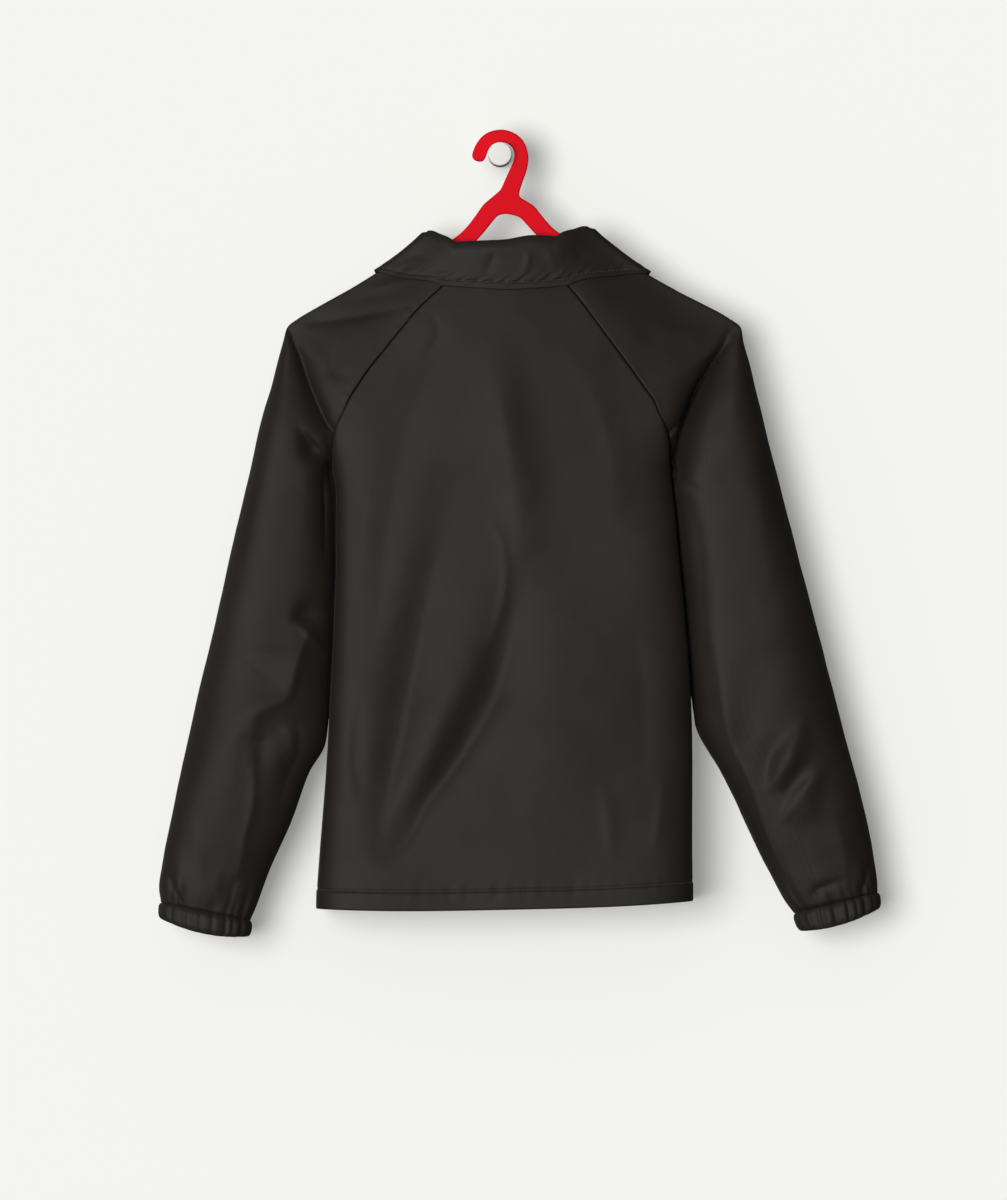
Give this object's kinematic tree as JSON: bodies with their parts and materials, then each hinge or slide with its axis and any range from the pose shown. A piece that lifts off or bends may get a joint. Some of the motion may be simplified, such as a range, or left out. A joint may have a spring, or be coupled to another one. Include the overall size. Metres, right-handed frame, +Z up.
{
  "type": "coach jacket on a hanger and wall peg",
  "caption": "Child's coach jacket with raglan sleeves, turn-down collar and elastic cuffs, on a flat hanger that hangs on a round wall peg.",
  "frame": {"origin": "centre of the peg's flat back face, where it meets the wall", "axes": "+Z up along the jacket's length, +Y into the wall, so that the jacket's back faces -Y; +X to the right of someone who looks at its back"},
  "size_m": [0.616, 0.0994, 0.6865],
  "materials": {
    "nylon": "crisp plain-weave nylon with a soft sheen",
    "snap_cap": "smooth enamelled cap",
    "red_plastic": "smooth moulded plastic, satin gloss",
    "pale_wood": "sanded pale dowel, matt lacquer"
  },
  "bodies": {
    "root": {"back_panel": "nylon", "front_left": "nylon", "front_right": "nylon", "sleeve_left": "nylon", "sleeve_right": "nylon", "cuff_left": "nylon", "cuff_right": "nylon", "collar": "nylon", "snap_1": "snap_cap", "snap_2": "snap_cap", "snap_3": "snap_cap", "snap_4": "snap_cap", "snap_5": "snap_cap", "hanger": "red_plastic", "wall_peg": "pale_wood"}
  },
  "joints": []
}
